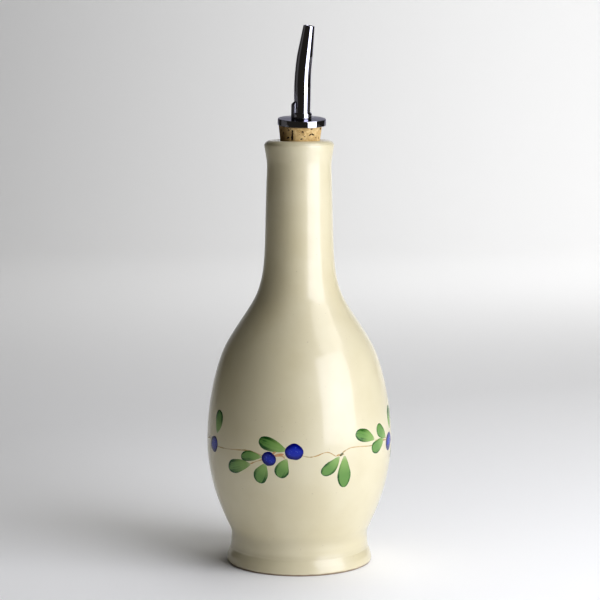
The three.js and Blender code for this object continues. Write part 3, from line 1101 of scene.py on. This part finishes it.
class DRIZZLE_OT_stage(bpy.types.Operator):
    """Sets up the pale floor and backdrop, the soft lights and the camera."""

    bl_idname = "drizzle.stage"
    bl_label = "Stage"

    def execute(self, context):
        settings = context.scene.drizzle_stage
        self.sweep(settings)
        self.lights(settings)
        self.surroundings(context.scene)
        self.camera(context.scene, settings)
        context.scene.view_settings.view_transform = "Standard"
        context.scene.view_settings.look = "Medium High Contrast"
        return {"FINISHED"}

    def sweep(self, settings):
        """A floor that curves up into the backdrop behind the bottle."""
        half_width, front, wall, curve, top = 1.9, -0.6, 2.6, 1.0, 3.0
        bm = bmesh.new()
        corners = [bm.verts.new((x, front, 0)) for x in (-half_width, half_width)]
        ends, far_edge = self.extend(bm, bm.edges.new(corners), (0, wall - curve - front, 0))
        bmesh.ops.spin(
            bm, geom=[*ends, far_edge], cent=(0, wall - curve, curve), axis=(1, 0, 0), angle=math.pi / 2,
            steps=24, use_merge=False, use_duplicate=False)
        top_edge = next(e for e in bm.edges if all(v.co.y > wall - 1e-4 for v in e.verts))
        self.extend(bm, top_edge, (0, 0, top - curve))
        bmesh.ops.recalc_face_normals(bm, faces=bm.faces)
        link("pale_sweep", smooth_mesh(bm, "pale_sweep", pale_finish(settings)))

    def extend(self, bm, edge, reach):
        """Draws an edge out into a face, and returns the new edge and its ends."""
        made = bmesh.ops.extrude_edge_only(bm, edges=[edge])["geom"]
        ends = [item for item in made if isinstance(item, bmesh.types.BMVert)]
        bmesh.ops.translate(bm, verts=ends, vec=reach)
        return ends, bm.edges.get(ends)

    def lights(self, settings):
        """Softboxes at the right, four lights on floor and backdrop alone, and a dim card at the left."""
        target, size = (0, 0, 0.13), (0.70, 0.76)
        self.softbox(
            "key_softbox", (0.628, -0.495, 0.33), target, size, settings.key_power, (0.975, 1.0, 1.12))
        paper = bpy.data.collections.new("paper")
        paper.objects.link(bpy.data.objects["pale_sweep"])
        cast = self.softbox("floor_key", (0.671, -0.436, 0.33), target, size, settings.floor_key_power)
        wash = self.softbox(
            "backdrop_wash", (0.75, 1.25, 1.05), (0.1, 2.6, 0.5), (1.2, 0.8), settings.wash_power)
        top = self.softbox("floor_light", (0.4, 0.6, 0.95), (0.3, 0.6, 0), (0.9, 0.9), settings.floor_power)
        near = self.softbox(
            "front_light", (-0.04, -0.14, 0.5), (-0.05, -0.25, 0), (0.4, 0.4), settings.front_power)
        for lamp in (cast, wash, top, near):
            lamp.light_linking.receiver_collection = paper
        self.softbox("high_softbox", (0.5, -0.2, 0.9), (0, 0, 0.1), (0.6, 0.6), settings.high_power)
        card = self.softbox("side_card", (-1.1, 0.1, 0.35), (0, 0, 0.2), (0.8, 0.6), settings.card_power)
        card.visible_diffuse = False

    def softbox(self, name, place, target, size, power, colour=(1, 1, 1)):
        """An area light that the camera doesn't see, aimed from its place at the target."""
        data = bpy.data.lights.new(name, "AREA")
        data.shape = "RECTANGLE"
        data.size, data.size_y = size
        data.energy = power
        data.color = colour
        lamp = bpy.data.objects.new(name, data)
        lamp.location = place
        lamp.rotation_mode = "QUATERNION"
        lamp.rotation_quaternion = (Vector(target) - Vector(place)).to_track_quat("-Z", "Y")
        lamp.visible_camera = False
        bpy.context.scene.collection.objects.link(lamp)
        return lamp

    def surroundings(self, scene):
        """A dim room for light and reflections, and a pale one behind the floor's edge."""
        world = bpy.data.worlds.new("studio")
        scene.world = world
        world.use_nodes = True
        nodes, links = world.node_tree.nodes, world.node_tree.links
        room = nodes["Background"]
        room.inputs["Color"].default_value = (0.9, 0.82, 0.68, 1)
        room.inputs["Strength"].default_value = 0.03
        far = nodes.new("ShaderNodeBackground")
        far.inputs["Color"].default_value = (0.80, 0.80, 0.81, 1)
        ray = nodes.new("ShaderNodeLightPath")
        both = nodes.new("ShaderNodeMixShader")
        links.new(ray.outputs["Is Camera Ray"], both.inputs["Fac"])
        links.new(room.outputs["Background"], both.inputs[1])
        links.new(far.outputs["Background"], both.inputs[2])
        links.new(both.outputs["Shader"], nodes["World Output"].inputs["Surface"])

    def camera(self, scene, settings):
        """The camera stands in front, a little above the bottle's top, and looks slightly down."""
        data = bpy.data.cameras.new("front_camera")
        data.lens = settings.lens
        camera = bpy.data.objects.new("front_camera", data)
        camera.location = (settings.camera_aside, -settings.camera_distance, settings.camera_height)
        camera.rotation_euler = (math.pi / 2 - settings.camera_tilt, 0, 0)
        scene.collection.objects.link(camera)
        scene.camera = camera


# Add-on

OPERATORS = (
    DRIZZLE_OT_bottle,
    DRIZZLE_OT_leaves,
    DRIZZLE_OT_berries,
    DRIZZLE_OT_vine,
    DRIZZLE_OT_cork,
    DRIZZLE_OT_flange,
    DRIZZLE_OT_spout,
    DRIZZLE_OT_vent,
    DRIZZLE_OT_stage,
)
SETTINGS = {
    "drizzle_bottle": BottleSettings,
    "drizzle_paint": PaintSettings,
    "drizzle_stopper": StopperSettings,
    "drizzle_stage": StageSettings,
}


class DRIZZLE_PT_sidebar(bpy.types.Panel):
    """Lists the steps in the 3D view's sidebar."""

    bl_idname = "DRIZZLE_PT_sidebar"
    bl_label = "Drizzle Bottle"
    bl_space_type = "VIEW_3D"
    bl_region_type = "UI"
    bl_category = SIDEBAR_TAB

    def draw(self, context):
        for operator in OPERATORS:
            self.layout.operator(operator.bl_idname)


CLASSES = (*SETTINGS.values(), *OPERATORS, DRIZZLE_PT_sidebar)


def register():
    for cls in CLASSES:
        bpy.utils.register_class(cls)
    for name, group in SETTINGS.items():
        setattr(bpy.types.Scene, name, PointerProperty(type=group))


def unregister():
    for name in SETTINGS:
        delattr(bpy.types.Scene, name)
    for cls in reversed(CLASSES):
        bpy.utils.unregister_class(cls)


def main():
    register()
    for operator in OPERATORS:
        group, action = operator.bl_idname.split(".")
        getattr(getattr(bpy.ops, group), action)()


if __name__ == "__main__":
    main()
